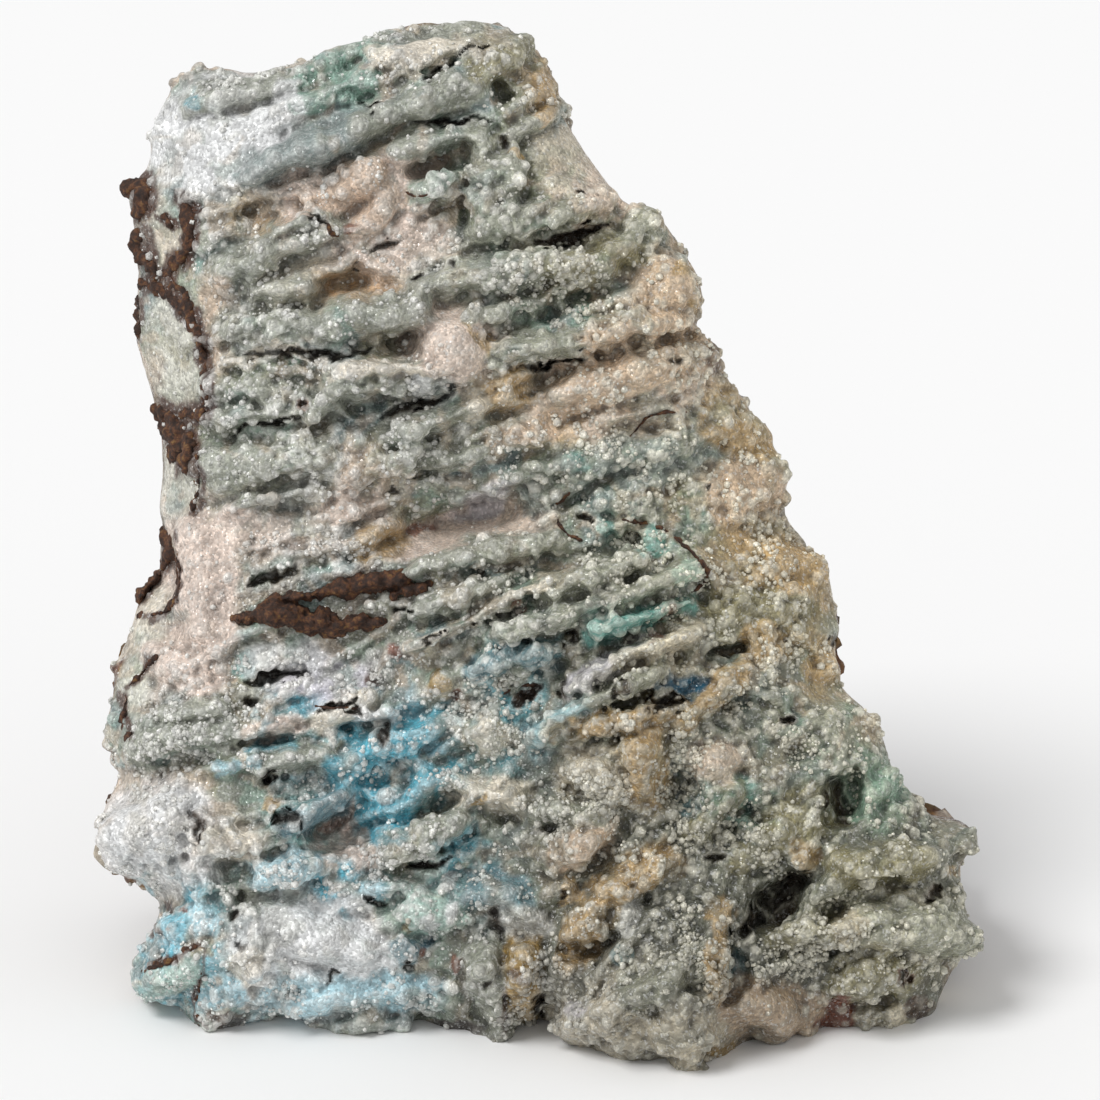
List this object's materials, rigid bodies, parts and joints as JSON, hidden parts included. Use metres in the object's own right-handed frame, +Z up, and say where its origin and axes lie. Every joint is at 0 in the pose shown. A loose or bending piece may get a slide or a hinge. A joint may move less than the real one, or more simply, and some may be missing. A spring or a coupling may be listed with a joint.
{
  "type": "aragonite with smithsonite mineral specimen",
  "caption": "Standing cabinet specimen of layered aragonite crusted with botryoidal smithsonite, with limonite veins, for display or as set dressing.",
  "frame": {"origin": "on the ground, under the centre of the specimen's bounding box", "axes": "+X to the right across the crusted face, +Y from the face to the broken back, +Z up"},
  "size_m": [0.1359, 0.0867, 0.1439],
  "materials": {
    "smithsonite_crust": "botryoidal drusy crust, softly sparkling"
  },
  "bodies": {
    "root": {"aragonite_smithsonite": "smithsonite_crust"}
  },
  "joints": []
}
